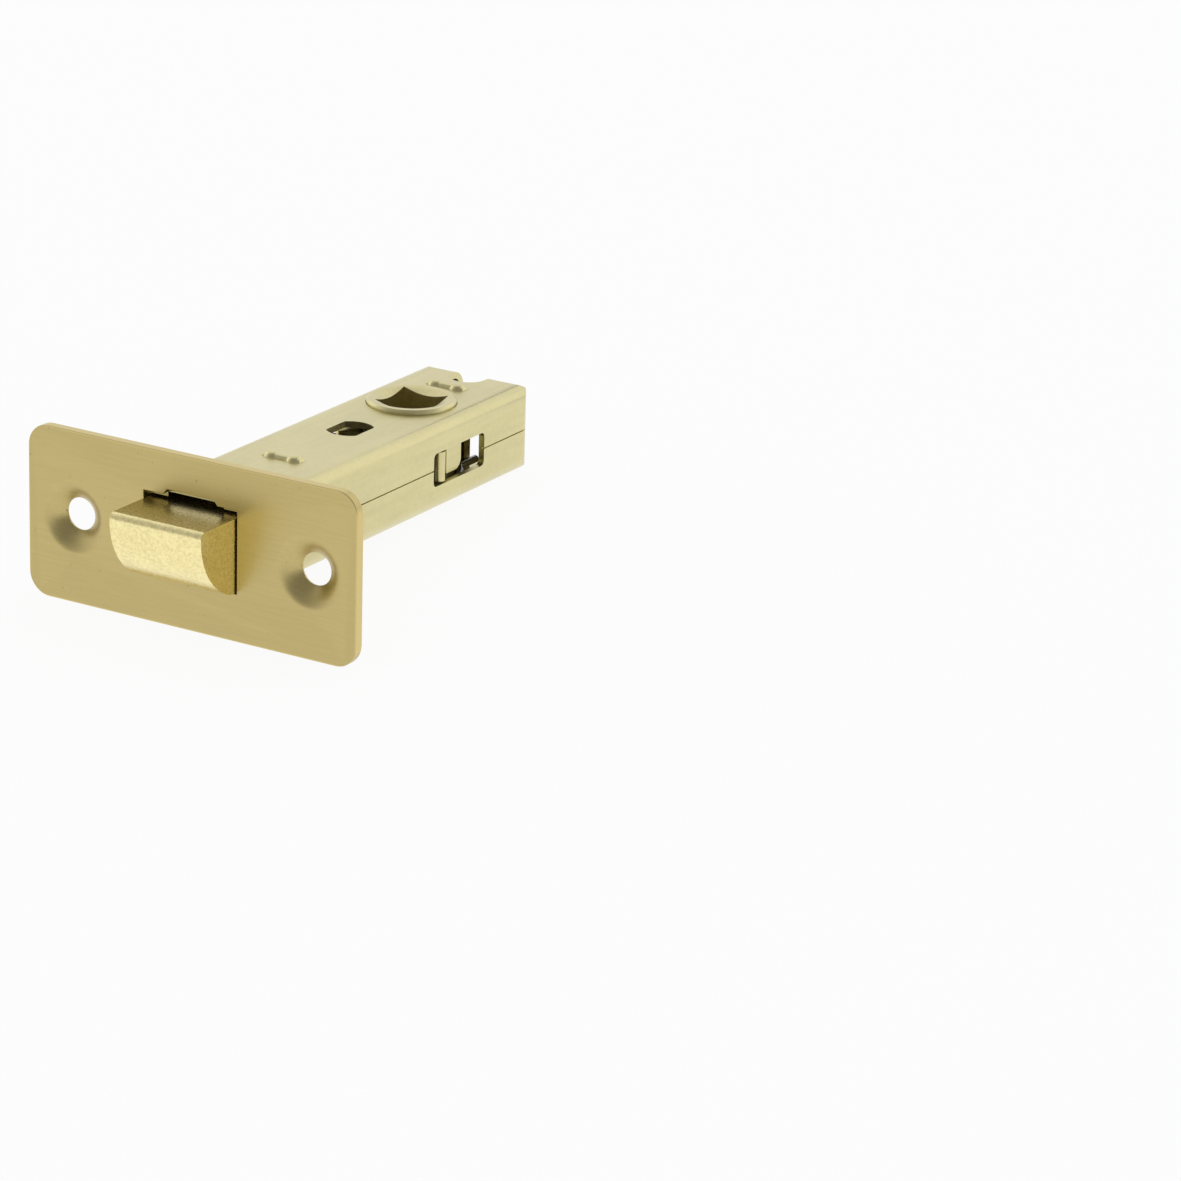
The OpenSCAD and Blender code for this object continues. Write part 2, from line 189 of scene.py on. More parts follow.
class LatchSizes(bpy.types.PropertyGroup):
    """Sizes of the softened edges, the screw dishes, the staked heads and the springs."""

    plate_edge: FloatProperty(
        name="Forend edge",
        description="Radius on the forend's edges",
        default=0.12 * MM,
        unit="LENGTH",
    )
    case_edge: FloatProperty(
        name="Case edge",
        description="Radius on the cut edges of the case",
        default=0.09 * MM,
        unit="LENGTH",
    )
    bolt_edge: FloatProperty(
        name="Bolt edge", description="Radius on the bolt's edges", default=0.28 * MM, unit="LENGTH"
    )
    works_edge: FloatProperty(
        name="Works edge",
        description="Radius on the edges of the works",
        default=0.1 * MM,
        unit="LENGTH",
    )
    edge_steps: IntProperty(
        name="Edge steps",
        description="Segments across a softened edge",
        default=3,
        min=1,
    )
    bolt_wire: FloatProperty(
        name="Bolt spring wire",
        description="Diameter of the bolt spring's wire",
        default=0.9 * MM,
        unit="LENGTH",
    )
    coil_turns: FloatProperty(
        name="Open turns",
        description="Open turns of the bolt spring",
        default=4.75,
    )
    hairpin_wire: FloatProperty(
        name="Hairpin wire",
        description="Diameter of the follower spring's wire",
        default=1.2 * MM,
        unit="LENGTH",
    )
    screw_place: FloatProperty(
        name="Screw place",
        description="Distance of a screw hole from the middle",
        default=20.5 * MM,
        unit="LENGTH",
    )
    dish_rim: FloatProperty(
        name="Dish rim",
        description="Radius at which the pressed dish leaves the flat",
        default=5.7 * MM,
        unit="LENGTH",
    )
    dish_power: FloatProperty(
        name="Dish curve",
        description="Exponent of the dish's bell",
        default=1.7,
    )
    head_rise: FloatProperty(
        name="Staked bar",
        description="Height of a staked head's bar beside its punched domes",
        default=0.72,
        subtype="FACTOR",
    )
    coil_steps: IntProperty(
        name="Coil steps",
        description="Points along each turn of a coil",
        default=56,
        min=12,
    )
    wire_steps: IntProperty(
        name="Wire steps",
        description="Points around a wire",
        default=16,
        min=8,
    )


class LatchFinish(bpy.types.PropertyGroup):
    """Colours and grain of the latch's finishes."""

    plate_colour: FloatVectorProperty(
        name="Forend colour",
        description="Satin brass of the forend",
        subtype="COLOR",
        default=linear(191, 174, 118),
    )
    case_colour: FloatVectorProperty(
        name="Case colour",
        description="Pale plating of the case",
        subtype="COLOR",
        default=linear(207, 198, 149),
    )
    bolt_colour: FloatVectorProperty(
        name="Bolt colour",
        description="Plating of the bolt",
        subtype="COLOR",
        default=linear(243, 229, 169),
    )
    steel_colour: FloatVectorProperty(
        name="Steel colour",
        description="Bright steel of the works",
        subtype="COLOR",
        default=linear(196, 194, 188),
    )
    wire_colour: FloatVectorProperty(
        name="Wire colour",
        description="Spring wire",
        subtype="COLOR",
        default=linear(150, 148, 144),
    )
    brush_length: FloatProperty(
        name="Brush length", description="Length of a brushing line", default=9 * MM, unit="LENGTH"
    )
    brush_pitch: FloatProperty(
        name="Brush pitch",
        description="Spacing of the brushing lines",
        default=0.4 * MM,
        unit="LENGTH",
    )
    grain: FloatProperty(
        name="Grain",
        description="Size of the plating's grain",
        default=0.8 * MM,
        unit="LENGTH",
    )


class LatchStage(bpy.types.PropertyGroup):
    """The floor, the lamps and the camera."""

    camera_turn: FloatProperty(
        name="Camera turn",
        description="Turn of the camera round the latch",
        default=0.5373,
        subtype="ANGLE",
    )
    camera_rise: FloatProperty(
        name="Camera rise",
        description="Height of the camera as an angle",
        default=0.33978,
        subtype="ANGLE",
    )
    camera_roll: FloatProperty(
        name="Camera roll", description="Roll of the camera", default=0.029856, subtype="ANGLE"
    )
    camera_place: FloatVectorProperty(
        name="Camera place",
        description="Where the camera stands",
        default=(0.39166, -0.54610, 0.23158),
        unit="LENGTH",
    )
    lens: FloatProperty(name="Lens", description="Focal length in millimetres", default=152.35)
    floor_reach: FloatProperty(
        name="Floor reach",
        description="Half width of the floor",
        default=4.0,
        unit="LENGTH",
    )
    floor_show: FloatProperty(
        name="Floor white",
        description="Share of plain white that the camera sees on the floor",
        default=0.92,
    )
    floor_glow: FloatProperty(
        name="Floor glow",
        description="Extra white of the floor in polished metal",
        default=0.12,
    )
    world_level: FloatProperty(name="World level", description="Light from all round", default=0.8)
    dim_level: FloatProperty(
        name="Dim share",
        description="How much dimmer the studio is in front and above",
        default=0.66,
    )
    dim_start: FloatProperty(
        name="Dim start",
        description="Direction at which the studio starts to dim",
        default=-0.05,
    )
    dim_end: FloatProperty(
        name="Dim end",
        description="Direction at which the studio is dimmest",
        default=0.9,
    )
    back_power: FloatProperty(
        name="Back lamp",
        description="Power of the lamp behind",
        default=0.35,
        unit="POWER",
    )
    side_power: FloatProperty(
        name="Side lamp",
        description="Power of the lamp at the side",
        default=0.3,
        unit="POWER",
    )


# Shader sums


class Value:
    """One output socket, with arithmetic that adds Math nodes to its tree."""

    def __init__(self, tree, socket):
        self.tree = tree
        self.socket = socket

    def math(self, operation, first, second=0.0):
        return self.tree.node("ShaderNodeMath", {"operation": operation}, {0: first, 1: second})

    def __add__(self, other):
        return self.math("ADD", self, other)

    def __radd__(self, other):
        return self.math("ADD", other, self)

    def __sub__(self, other):
        return self.math("SUBTRACT", self, other)

    def __rsub__(self, other):
        return self.math("SUBTRACT", other, self)

    def __mul__(self, other):
        return self.math("MULTIPLY", self, other)

    def __rmul__(self, other):
        return self.math("MULTIPLY", other, self)

    def __abs__(self):
        return self.math("ABSOLUTE", self)

    def above(self, other):
        """The larger of the two values."""
        return self.math("MAXIMUM", self, other)

    def within(self, start, end):
        """0 at start, 1 at end, smooth between."""
        return self.tree.node(
            "ShaderNodeMapRange",
            {"interpolation_type": "SMOOTHSTEP"},
            {"Value": self, "From Min": start, "From Max": end},
        )


class Tree:
    """A node tree that is written as expressions."""

    def __init__(self, tree):
        self.tree = tree
        tree.nodes.clear()

    def node(self, kind, settings=None, inputs=None, output=0):
        """One node: its settings first, then the values or links of its sockets."""
        made = self.tree.nodes.new(kind)
        for name, value in (settings or {}).items():
            setattr(made, name, value)
        for name, value in (inputs or {}).items():
            if isinstance(value, Value):
                self.tree.links.new(value.socket, made.inputs[name])
            else:
                made.inputs[name].default_value = value
        return Value(self, made.outputs[output]) if made.outputs else made

    def place(self, scale):
        """Object coordinates, stretched."""
        spot = self.node("ShaderNodeTexCoord", output="Object")
        return self.node("ShaderNodeMapping", None, {"Vector": spot, "Scale": scale})

    def axes(self, kind="Object"):
        """Coordinates as three values: a piece's own, or the direction in a world."""
        spot = self.node("ShaderNodeTexCoord", output=kind)
        split = self.node("ShaderNodeSeparateXYZ", None, {0: spot})
        return [Value(self, socket) for socket in split.socket.node.outputs]

    def noise(self, scale, detail=3.0, roughness=0.55):
        """Noise from 0 to 1 on stretched object coordinates, its scale in cycles per metre."""
        return self.node(
            "ShaderNodeTexNoise",
            {"noise_dimensions": "3D"},
            {"Vector": self.place(scale), "Scale": 1.0, "Detail": detail, "Roughness": roughness},
        )

    def tint(self, share, dark, light):
        """Colour between two tints."""
        inputs = {0: share, 6: dark, 7: light}
        return self.node("ShaderNodeMix", {"data_type": "RGBA"}, inputs, output=2)

    def metal(self, colour, rough, height, depth):
        """A metal as the surface, with a bump of that height whose depth is in metres."""
        relief = {"Height": height, "Strength": 1.0, "Distance": depth}
        inputs = {
            "Base Color": colour,
            "Metallic": 1.0,
            "Roughness": rough,
            "Normal": self.node("ShaderNodeBump", None, relief),
        }
        shader = self.node("ShaderNodeBsdfPrincipled", None, inputs)
        self.node("ShaderNodeOutputMaterial", None, {"Surface": shader})

    def light(self, kind, strength):
        """White light of that strength: an emission, or a world's background."""
        return self.node(kind, None, {"Color": WHITE, "Strength": strength})

    def mixed(self, share, first, second):
        """Two shaders mixed by a share."""
        return self.node("ShaderNodeMixShader", None, {0: share, 1: first, 2: second})


def shade(colour, level):
    """A colour times a level, with full alpha."""
    return (*[min(1.0, float(c) * level) for c in colour], 1.0)


def new_material(name):
    """An empty material and its tree."""
    material = bpy.data.materials.new(name)
    material.use_nodes = True
    return material, Tree(material.node_tree)


# Finishes


def satin_plate(tree):
    """Satin brass: fine brushing along the forend, a painted highlight along its outer edge and
    handling marks.
    """
    finish = bpy.context.scene.latch_finish
    along, across = 1 / finish.brush_length, 1 / finish.brush_pitch
    lines = tree.noise((along, across, across), 4.0, 0.6)
    fine = tree.noise((along * 0.5, across * 3, across * 3), 2.0)
    cloud = tree.noise(PLATE_CLOUD, 2.0)
    x, _, z = tree.axes()
    # Painted highlight: distance to the forend's outline, so that the brass grows paler towards its
    # edge
    rim = (abs(x) - CAD_HIGH.x).above(abs(z) - CAD_HIGH.z)
    edge = rim.within(-EDGE_HIGHLIGHT_START, -EDGE_HIGHLIGHT_FULL)
    pits = tree.noise(PLATE_PITS, 1.0).within(PIT_START, PIT_END)
    share = (lines * 0.6 + fine * 0.2 + cloud * 0.2).within(*CONTRAST)
    body = tree.tint(share, shade(finish.plate_colour, 0.95), shade(finish.plate_colour, 1.04))
    marked = tree.tint(pits * 0.4, body, shade(finish.plate_colour, 0.45))
    # Painted highlight: the outline is tinted paler, standing in for light caught on the edge
    colour = tree.tint(edge * 0.6, marked, shade(finish.plate_colour, 1.35))
    rough = 0.24 + lines * 0.16 + cloud * 0.08
    tree.metal(colour, rough, lines * 0.6 + fine * 0.4, 0.012 * MM)


def case_plating(tree):
    """Pale plating over pressed steel: smooth satin with a soft mottle."""
    finish = bpy.context.scene.latch_finish
    cells = 1 / finish.grain
    grain = tree.noise((cells, cells, cells))
    drawn = tree.noise((cells * 0.7, cells * 0.03, cells * 0.7))
    cloud = tree.noise(CASE_CLOUD, 2.0)
    share = (cloud * 0.35 + drawn * 0.35 + grain * 0.3).within(*CONTRAST)
    colour = tree.tint(share, shade(finish.case_colour, 0.92), shade(finish.case_colour, 1.05))
    rough = 0.24 + grain * 0.08 + drawn * 0.08
    tree.metal(colour, rough, grain * 0.5 + drawn * 0.5, 0.01 * MM)


def bolt_plating(tree):
    """Plated die casting: a fine sandy grain and a soft cloud of tone."""
    finish = bpy.context.scene.latch_finish
    cells = 1.6 / finish.grain
    grain = tree.noise((cells, cells, cells), 2.0, 0.6)
    cloud = tree.noise(BOLT_CLOUD)
    share = (grain * 0.8 + cloud * 0.2).within(0.3, 0.65)
    colour = tree.tint(share, shade(finish.bolt_colour, 0.83), shade(finish.bolt_colour, 1.05))
    tree.metal(colour, 0.22 + grain * 0.14, grain, 0.032 * MM)


def works_steel(tree):
    """Pressed steel of the hidden works, with rolling lines and a light oil film."""
    finish = bpy.context.scene.latch_finish
    cells = 1 / finish.grain
    rolled = tree.noise((cells * 1.5, cells * 0.05, cells * 1.5))
    cloud = tree.noise(WORKS_CLOUD, 2.0)
    share = (rolled * 0.5 + cloud * 0.5).within(*SOFT_CONTRAST)
    colour = tree.tint(share, shade(finish.steel_colour, 0.8), shade(finish.steel_colour, 1.05))
    tree.metal(colour, 0.28 + rolled * 0.2, rolled, 0.01 * MM)


def spring_wire(tree):
    """Drawn spring wire: darker steel with faint drawing marks."""
    finish = bpy.context.scene.latch_finish
    cells = 2 / finish.grain
    marks = tree.noise((cells, cells, cells))
    share = marks.within(*SOFT_CONTRAST)
    colour = tree.tint(share, shade(finish.wire_colour, 0.78), shade(finish.wire_colour, 1.1))
    tree.metal(colour, 0.22 + marks * 0.18, marks, 0.006 * MM)


FINISHES = {
    "satin_plate": satin_plate,
    "case_plating": case_plating,
    "bolt_plating": bolt_plating,
    "works_steel": works_steel,
    "spring_steel": spring_wire,
}


def material_for(slot):
    """The finish of one of the record's slots, made once."""
    name = f"{slot}_finish"
    made = bpy.data.materials.get(name)
    if made is None:
        made, tree = new_material(name)
        FINISHES[slot](tree)
    return made


# Meshes


def shown(name, mesh, slot, body, *nodes):
    """Puts a finished mesh in the scene, with its finish, its body and the nodes it stands for."""
    piece = bpy.data.objects.new(name, mesh)
    bpy.context.scene.collection.objects.link(piece)
    mesh.materials.clear()
    mesh.materials.append(material_for(slot))
    if body:
        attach(piece, body)
    if nodes:
        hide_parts(*nodes)
    return piece


def softened(node, slot, body, radius, reshape=None):
    """A copy of a CAD node, merged, reshaped if asked, its creases rounded by a Bevel modifier."""
    mesh = frame["nodes"][node].data.copy()
    work = bmesh.new()
    work.from_mesh(mesh)
    bmesh.ops.remove_doubles(work, verts=work.verts, dist=WELD)
    bmesh.ops.dissolve_limit(work, angle_limit=COPLANAR, verts=work.verts, edges=work.edges)
    if reshape:
        reshape(work)
    for face in work.faces:
        face.smooth = True
    work.to_mesh(mesh)
    work.free()
    mesh.set_sharp_from_angle(angle=CREASE)
    piece = shown(f"{node}_finished", mesh, slot, body, node)
    soften = piece.modifiers.new("Softened edges", "BEVEL")
    soften.width = radius
    soften.segments = bpy.context.scene.latch_sizes.edge_steps
    soften.limit_method = "ANGLE"
    soften.angle_limit = CREASE
    soften.use_clamp_overlap = True
    soften.harden_normals = True


def from_hole(vert, middle):
    """Distance of a point of the forend from the axis of a screw hole."""
    return math.hypot(vert.co.x - middle, vert.co.z)


def belled(work):
    """Presses each screw dish into a bell.

    Its depth is (1 - t)^p of the dish's own, with t from 0 at the hole to 1 at its soft rim.
    """
    sizes = bpy.context.scene.latch_sizes
    for side in (-1, 1):
        middle = side * sizes.screw_place
        near = [vert for vert in work.verts if from_hole(vert, middle) < sizes.dish_rim]
        hole = min(from_hole(vert, middle) for vert in near)
        outer = max(from_hole(vert, middle) for vert in near if vert.co.y < CLOSE)
        depth = min(vert.co.y for vert in near if from_hole(vert, middle) < hole + CLOSE)
        slope = depth / (outer - hole)
        wall = {
            vert
            for vert in near
            if abs(vert.co.y - slope * (outer - from_hole(vert, middle))) < CLOSE
        }
        faces = [face for face in work.faces if wall.issuperset(face.verts)]
        bmesh.ops.delete(work, geom=faces, context="FACES")
        front = {vert for vert in wall if vert.is_valid and vert.co.y < CLOSE}
        ring = [e for e in work.edges if e.is_boundary and front.issuperset(e.verts)]
        for step in range(DISH_STEPS + 1):
            if step:
                made = bmesh.ops.extrude_edge_only(work, edges=ring)["geom"]
                ring = [item for item in made if isinstance(item, bmesh.types.BMEdge)]
            share = 1 - step / DISH_STEPS
            radius = hole + (sizes.dish_rim - hole) * share
            for vert in {v for edge in ring for v in edge.verts}:
                scale = radius / from_hole(vert, middle)
                vert.co.x = middle + (vert.co.x - middle) * scale
                vert.co.z *= scale
                vert.co.y = depth * (1 - share) ** sizes.dish_power
        lip = [
            vert
            for vert in work.verts
            if abs(from_hole(vert, middle) - hole) < CLOSE and abs(vert.co.y - depth) < CLOSE
        ]
        bmesh.ops.remove_doubles(work, verts=lip, dist=CLOSE)
    bmesh.ops.recalc_face_normals(work, faces=work.faces)


def opened(work):
    """Raises the upper edge of the forend's opening and its relief, then presses the dishes."""
    edge = [
        vert
        for vert in work.verts
        if abs(vert.co.x) < OPENING_HALF and OPENING_LOW < vert.co.z < OPENING_HIGH
    ]
    level = min(vert.co.z for vert in edge)
    for vert in edge:
        vert.co.z += RELIEF_RISE if vert.co.z > level + CLOSE else OPENING_RISE
    belled(work)


def cut(work, place, normal, **options):
    """Cuts a whole mesh with a plane."""
    geometry = [*work.verts, *work.edges, *work.faces]
    bmesh.ops.bisect_plane(work, geom=geometry, plane_co=place, plane_no=normal, **options)


def notched(work):
    """Opens the top shell's ceiling and front edge behind the relief, under a thin skin."""
    top = box_of("case_shell_top")[1][2]
    cut(work, (NOTCH_HALF, 0, 0), (1, 0, 0), dist=WELD)
    cut(work, (-NOTCH_HALF, 0, 0), (1, 0, 0), dist=WELD)
    cut(work, (0, NOTCH_REAR, 0), (0, 1, 0), dist=WELD)
    cut(work, (0, 0, top - NOTCH_SKIN), (0, 0, 1), dist=WELD)
    inside = []
    for face in work.faces:
        middle = face.calc_center_median()
        under = top - NOTCH_DEPTH < middle.z < top - NOTCH_SKIN
        if under and abs(middle.x) < NOTCH_HALF and middle.y < NOTCH_REAR:
            inside.append(face)
    bmesh.ops.delete(work, geom=inside, context="FACES")


def mouthed(work):
    """Makes the spindle hole's mouths shallower: their points keep a share of their depth."""
    _, high = box_of("follower")
    x, y, _ = hinge_centre("follower_turn")
    for vert in work.verts:
        depth = high[2] - abs(vert.co.z)
        if depth < MOUTH_DEPTH and math.hypot(vert.co.x - x, vert.co.y - y) < MOUTH_LIMIT:
            vert.co.z = math.copysign(high[2] - depth * MOUTH_SHARE, vert.co.z)


def headless(work):
    """Takes the staked heads off a bridge at the two faces of the case."""
    cut(work, (0, 0, box_of("case_shell_bottom")[0][2]), (0, 0, 1), clear_inner=True)
    cut(work, (0, 0, box_of("case_shell_top")[1][2]), (0, 0, 1), clear_outer=True)


def surface(name, points, faces):
    """A smooth mesh of those points and faces."""
    mesh = bpy.data.meshes.new(name)
    mesh.from_pydata(points, [], faces)
    mesh.polygons.foreach_set("use_smooth", [True] * len(mesh.polygons))
    return mesh


def staked_heads(node):
    """The heads z(x, y) of a bridge's two tabs: two domes and a lower bar with round shoulders.

    A dome is 1 - d^4, and d is the distance from its middle over its radius. The bar is
    (1 - v^6)(1 - u^12), with v and u the places across and along it as shares of its half width
    and half length.
    """
    case_top = box_of("case_shell_top")[1][2]
    low, high = box_of(node)
    rise = high[2] - case_top
    middle = (low[1] + high[1]) / 2
    x = np.linspace(-HEAD_HALF, HEAD_HALF, HEAD_ROWS)
    y = np.linspace(-DOME_RADIUS, DOME_RADIUS, HEAD_COLUMNS)
    across, along = np.meshgrid(y, x)
    apart = np.hypot(np.abs(along) - DOME_PLACE, across) / DOME_RADIUS
    dome = np.clip(1 - apart**4, 0, 1)
    bar = np.clip(1 - (across / BAR_HALF) ** 6, 0, 1) * (1 - (along / HEAD_HALF) ** 12)
    height = np.maximum(dome, bar * bpy.context.scene.latch_sizes.head_rise) * rise
    number = np.arange(height.size).reshape(height.shape)
    corners = (number[:-1, :-1], number[1:, :-1], number[1:, 1:], number[:-1, 1:])
    rings = np.stack(corners, axis=-1).reshape(-1, 4)
    rings = rings[height.ravel()[rings].max(axis=1) > 0]
    used, rings = np.unique(rings, return_inverse=True)
    rings = rings.reshape(-1, 4)
    points = []
    for side in (-1, 1):
        layer = np.stack([along, across + middle, side * (case_top + height)], axis=2)
        points.append(layer.reshape(-1, 3)[used])
    faces = np.concatenate([rings[:, ::-1], rings + len(used)])
    return surface(f"{node}_heads", np.concatenate(points).tolist(), faces.tolist())


def tube(name, line, radius, sides):
    """A round wire along a line: centre + radius (cos b normal + sin b binormal).

    The normal is square to the line and to the mean axis that the line turns about.
    """
    along = np.gradient(line, axis=0)
    along /= np.linalg.norm(along, axis=1)[:, None]
    reference = np.cross(along, np.roll(along, 1, axis=0)).sum(axis=0)
    reference /= np.linalg.norm(reference)
    normal = np.cross(along, reference)
    normal /= np.linalg.norm(normal, axis=1)[:, None]
    binormal = np.cross(along, normal)
    turn = np.linspace(0, 2 * np.pi, sides, endpoint=False)[None, :, None]
    ring = np.cos(turn) * normal[:, None, :] + np.sin(turn) * binormal[:, None, :]
    points = (line[:, None, :] + radius * ring).reshape(-1, 3)
    rows = len(line)
    first = np.arange(rows - 1)[:, None] * sides
    start = (first + np.arange(sides)[None, :]).ravel()
    step = (first + (np.arange(sides)[None, :] + 1) % sides).ravel()
    walls = np.stack([start, start + sides, step + sides, step], axis=1).tolist()
    ends = [list(range(sides)), [(rows - 1) * sides + k for k in reversed(range(sides))]]
    mesh = surface(name, points.tolist(), walls + ends)
    mesh.validate()
    work = bmesh.new()
    work.from_mesh(mesh)
    bmesh.ops.recalc_face_normals(work, faces=work.faces)
    work.to_mesh(mesh)
    work.free()
    mesh.set_sharp_from_angle(angle=CREASE)
    return mesh


def coil_line(front, rear, radius, wire, open_turns, steps):
    """A helix about Y: (r cos a, y(a), r sin a), with a closed turn at each end."""
    turns = open_turns + 2
    t = np.linspace(0, turns, int(turns * steps) + 1)
    length = rear - front - wire
    rise = np.interp(t, [0, 1, turns - 1, turns], [0, wire, length - wire, length])
    angle = 2 * np.pi * t
    y = front + wire / 2 + rise
    return np.stack([radius * np.cos(angle), y, radius * np.sin(angle)], axis=1)


def hairpin_line(centre, low, high, wire, steps):
    """A bow r (cos a, sin a) round the follower, tangents to the two turns, and straight legs."""
    bow = (high[0] - low[0] - wire) / 2
    far = bow + BOW_RELIEF
    height = (low[2] + high[2]) / 2
    turn_y = math.sqrt(far**2 - LEG_SPREAD**2)
    start = math.atan2(turn_y, LEG_SPREAD) - math.acos(bow / far)
    turn = np.linspace(start, -math.pi - start, steps)
    arc = np.stack(
        [bow * np.cos(turn), centre[1] + bow * np.sin(turn), np.full(steps, height)], axis=1
    )
    share = np.linspace(0, 1, steps // 3)[:, None]
    turn_in = np.array([LEG_SPREAD, centre[1] + turn_y, height])
    leg = turn_in + (np.array([LEG_SPREAD, high[1], height]) - turn_in) * share
    return np.concatenate([leg[::-1], arc, leg * [-1, 1, 1]])


# Stage


def camera_matrix(stage):
    """Right, up and back directions of the camera from its turn, rise and roll, and its place."""
    turn, rise, roll = stage.camera_turn, stage.camera_rise, stage.camera_roll
    right = Vector((math.cos(turn), math.sin(turn), 0))
    level = math.cos(rise)
    ahead = Vector((-math.sin(turn) * level, math.cos(turn) * level, -math.sin(rise)))
    up = right.cross(ahead)
    tilted_right = right * math.cos(roll) + up * math.sin(roll)
    tilted_up = up * math.cos(roll) - right * math.sin(roll)
    axes = Matrix((tilted_right, tilted_up, -ahead)).transposed().to_4x4()
    return Matrix.Translation(Vector(stage.camera_place)) @ axes


def lamp(name, place, size, power):
    """A square soft lamp that looks at the middle of the latch."""
    light = bpy.data.lights.new(name, "AREA")
    light.shape = "SQUARE"
    light.size = size
    light.energy = power
    made = bpy.data.objects.new(name, light)
    made.visible_camera = False
    bpy.context.scene.collection.objects.link(made)
    ahead = (CAD_LOW + CAD_HIGH) / 2 - Vector(place)
    turned = ahead.to_track_quat("-Z", "Y").to_matrix().to_4x4()
    made.matrix_world = Matrix.Translation(Vector(place)) @ turned


def ray_kinds(tree):
    """Two values: 1 for rays that show white surroundings, and 1 for glossy rays alone."""
    outputs = tree.node("ShaderNodeLightPath").socket.node.outputs
    kinds = ("Camera", "Glossy", "Transmission")
    camera, glossy, through = (Value(tree, outputs[f"Is {kind} Ray"]) for kind in kinds)
    return camera.above(glossy).above(through), glossy


def white_world(stage):
    """A soft world that shows as plain white, dimmer in front and above for polished metal."""
    world = bpy.data.worlds.new("Studio")
    world.use_nodes = True
    bpy.context.scene.world = world
    tree = Tree(world.node_tree)
    seen, glossy = ray_kinds(tree)
    x, y, z = tree.axes("Generated")
    ahead = z * DIM_RISE - y * DIM_FRONT + x * DIM_SIDE
    dim = ahead.within(stage.dim_start, stage.dim_end) * stage.dim_level
    kind = "ShaderNodeBackground"
    white = tree.mixed(dim * glossy, tree.light(kind, 1.0), tree.light(kind, 0.0))
    mixed = tree.mixed(seen, tree.light(kind, stage.world_level), white)
    tree.node("ShaderNodeOutputWorld", None, {"Surface": mixed})


def floor_material(stage):
    """White floor that keeps a soft shadow."""
    material, tree = new_material("white_floor")
    grain = tree.noise(FLOOR_GRAIN, 2.0)
    lit = tree.node("ShaderNodeBsdfDiffuse", None, {"Color": tree.tint(grain, *FLOOR_TINTS)})
    seen, glossy = ray_kinds(tree)
    kind = "ShaderNodeEmission"
    bright = tree.light(kind, 1.0 + stage.floor_glow)
    white = tree.mixed(glossy, tree.light(kind, 1.0), bright)
    mixed = tree.mixed(seen * stage.floor_show, lit, white)
    tree.node("ShaderNodeOutputMaterial", None, {"Surface": mixed})
    return material


def floor_mesh(reach):
    """The floor z(y): a ramp from the forend's lower edge to the case's rear edge, level beyond."""
    case_low, case_high = box_of("case_shell_bottom")
    front, rear = CAD_LOW.y, CAD_HIGH.y
    slope = (case_low[2] - CAD_LOW.z) / (case_high[1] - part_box("forend_plate")[1].y)
    ramp = np.linspace(front - FLOOR_FRONT, rear + FLOOR_REAR, FLOOR_STEPS)
    y = np.concatenate([[-reach], ramp, [reach]])
    z = CAD_LOW.z - FLOOR_GAP + np.clip(y, front - RAMP_FRONT, rear + RAMP_REAR) * slope
    left, right = (np.stack([np.full(len(y), side * reach), y, z], axis=1) for side in (-1, 1))
    points = np.stack([left, right], axis=1).reshape(-1, 3)
    faces = 2 * np.arange(len(y) - 1)[:, None] + [0, 1, 3, 2]
    return surface("floor", points.tolist(), faces.tolist())


# Operators


class LATCH_OT_stage(bpy.types.Operator):
    """Sets the camera, the white floor and world, and the soft lamps."""

    bl_idname = "latch.stage"
    bl_label = "Stage"

    def execute(self, context):
        scene = context.scene
        stage = scene.latch_stage
        camera = bpy.data.cameras.new("Camera")
        camera.lens = stage.lens
        camera.sensor_width = SENSOR
        camera.clip_start, camera.clip_end = CLIP
        viewer = bpy.data.objects.new("Camera", camera)
        scene.collection.objects.link(viewer)
        viewer.matrix_world = camera_matrix(stage)
        scene.camera = viewer
        scene.view_settings.view_transform = "Standard"
        white_world(stage)
        floor = bpy.data.objects.new("floor", floor_mesh(stage.floor_reach))
        scene.collection.objects.link(floor)
        floor.data.materials.append(floor_material(stage))
        lamp("back_lamp", BACK_PLACE, BACK_SIZE, stage.back_power)
        lamp("side_lamp", SIDE_PLACE, SIDE_SIZE, stage.side_power)
        return {"FINISHED"}


class LATCH_OT_forend(bpy.types.Operator):
    """Dresses the forend plate with softened edges, belled screw dishes and satin brushing."""

    bl_idname = "latch.forend"
    bl_label = "Forend"

    def execute(self, context):
        edge = context.scene.latch_sizes.plate_edge
        softened("forend_plate", "satin_plate", "case", edge, opened)
        return {"FINISHED"}


class LATCH_OT_case(bpy.types.Operator):
    """Dresses the two pressed shells of the case and the bridges that are staked into them."""

    bl_idname = "latch.case"
    bl_label = "Case"

    def execute(self, context):
        edge = context.scene.latch_sizes.case_edge
        softened("case_shell_top", "case_plating", "case", edge, notched)
        softened("case_shell_bottom", "case_plating", "case", edge)
        for node in ("front_bridge", "rear_bridge"):
            softened(node, "case_plating", "case", edge, headless)
            shown(f"{node}_heads", staked_heads(node), "case_plating", "case")
        return {"FINISHED"}


class LATCH_OT_bolt(bpy.types.Operator):
    """Dresses the cast bolt, and the tail and pin that pull it in."""

    bl_idname = "latch.bolt"
    bl_label = "Bolt"

    def execute(self, context):
        sizes = context.scene.latch_sizes
        softened("latch_bolt", "bolt_plating", "bolt", sizes.bolt_edge)
        softened("bolt_tail", "works_steel", "bolt", sizes.works_edge)
        softened("tail_pin", "works_steel", "bolt", sizes.works_edge)
        return {"FINISHED"}


class LATCH_OT_works(bpy.types.Operator):
    """Dresses the follower and the slide that it draws back."""

    bl_idname = "latch.works"
    bl_label = "Follower and slide"

    def execute(self, context):
        edge = context.scene.latch_sizes.works_edge
        softened("follower", "case_plating", "follower", edge, mouthed)
        softened("slide_plate", "case_plating", "slide", edge)
        return {"FINISHED"}


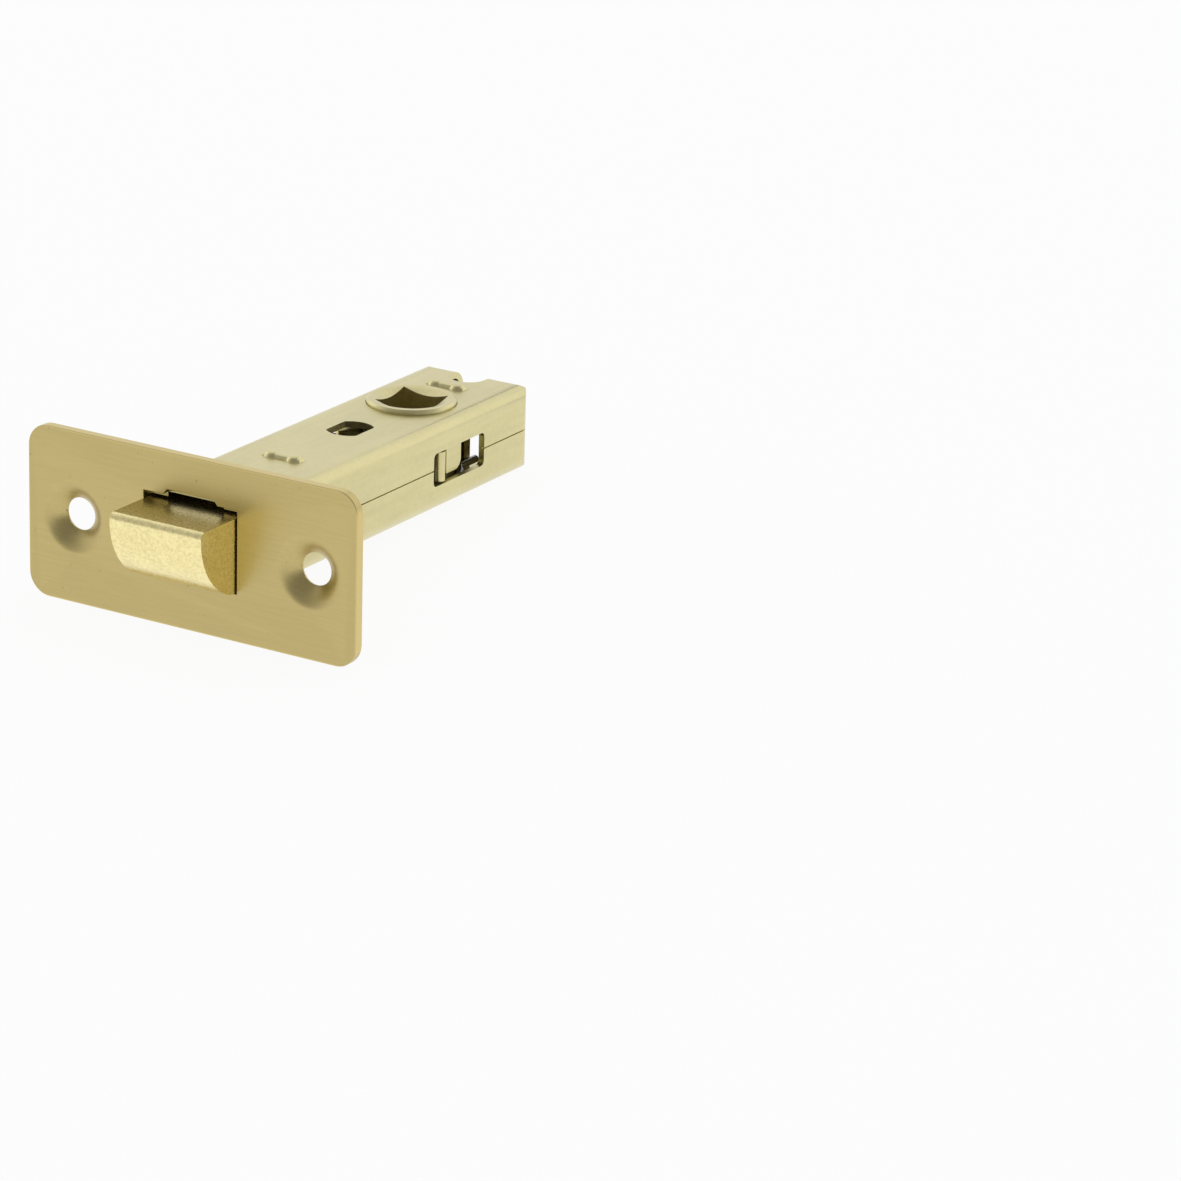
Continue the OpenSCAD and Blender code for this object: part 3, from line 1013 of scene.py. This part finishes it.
class LATCH_OT_springs(bpy.types.Operator):
    """Winds the bolt spring and bends the follower's hairpin spring."""

    bl_idname = "latch.springs"
    bl_label = "Springs"

    def execute(self, context):
        sizes = context.scene.latch_sizes
        low, high = box_of("bolt_spring")
        wire = sizes.bolt_wire
        radius = (high[0] - low[0] - wire) / 2
        line = coil_line(low[1], high[1], radius, wire, sizes.coil_turns, sizes.coil_steps)
        mesh = tube("bolt_coil", line, wire / 2, sizes.wire_steps)
        coil = shown("bolt_coil", mesh, "spring_steel", "case", "bolt_spring")
        keep = 1 - joint_limit("bolt_travel") / float(high[1] - low[1])
        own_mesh(coil)
        low, high = box_of("follower_spring")
        centre = hinge_centre("follower_turn")
        line = hairpin_line(centre, low, high, sizes.hairpin_wire, 2 * sizes.coil_steps)
        mesh = tube("hairpin", line, sizes.hairpin_wire / 2, sizes.wire_steps)
        hairpin = shown("hairpin", mesh, "spring_steel", None, "follower_spring")
        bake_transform(hairpin)
        return {"FINISHED"}


class LATCH_PT_panel(bpy.types.Panel):
    """Lists the latch's pieces and settings."""

    bl_idname = "LATCH_PT_panel"
    bl_label = "Tubular Latch"
    bl_space_type = "VIEW_3D"
    bl_region_type = "UI"
    bl_category = "Latch"

    def draw(self, context):
        for operator in OPERATORS:
            self.layout.operator(operator.bl_idname)
        for name in GROUPS:
            group = getattr(context.scene, name)
            box = self.layout.box()
            for setting in group.__annotations__:
                box.prop(group, setting)


GROUPS = {"latch_sizes": LatchSizes, "latch_finish": LatchFinish, "latch_stage": LatchStage}
OPERATORS = (
    LATCH_OT_stage,
    LATCH_OT_forend,
    LATCH_OT_case,
    LATCH_OT_bolt,
    LATCH_OT_works,
    LATCH_OT_springs,
)
CLASSES = (*GROUPS.values(), *OPERATORS, LATCH_PT_panel)


def register():
    for item in CLASSES:
        bpy.utils.register_class(item)
    for name, group in GROUPS.items():
        setattr(bpy.types.Scene, name, PointerProperty(type=group))


def unregister():
    for name in GROUPS:
        delattr(bpy.types.Scene, name)
    for item in reversed(CLASSES):
        bpy.utils.unregister_class(item)


def main():
    register()
    bpy.ops.latch.stage()
    bpy.ops.latch.forend()
    bpy.ops.latch.case()
    bpy.ops.latch.bolt()
    bpy.ops.latch.works()
    bpy.ops.latch.springs()


if __name__ == "__main__":
    main()
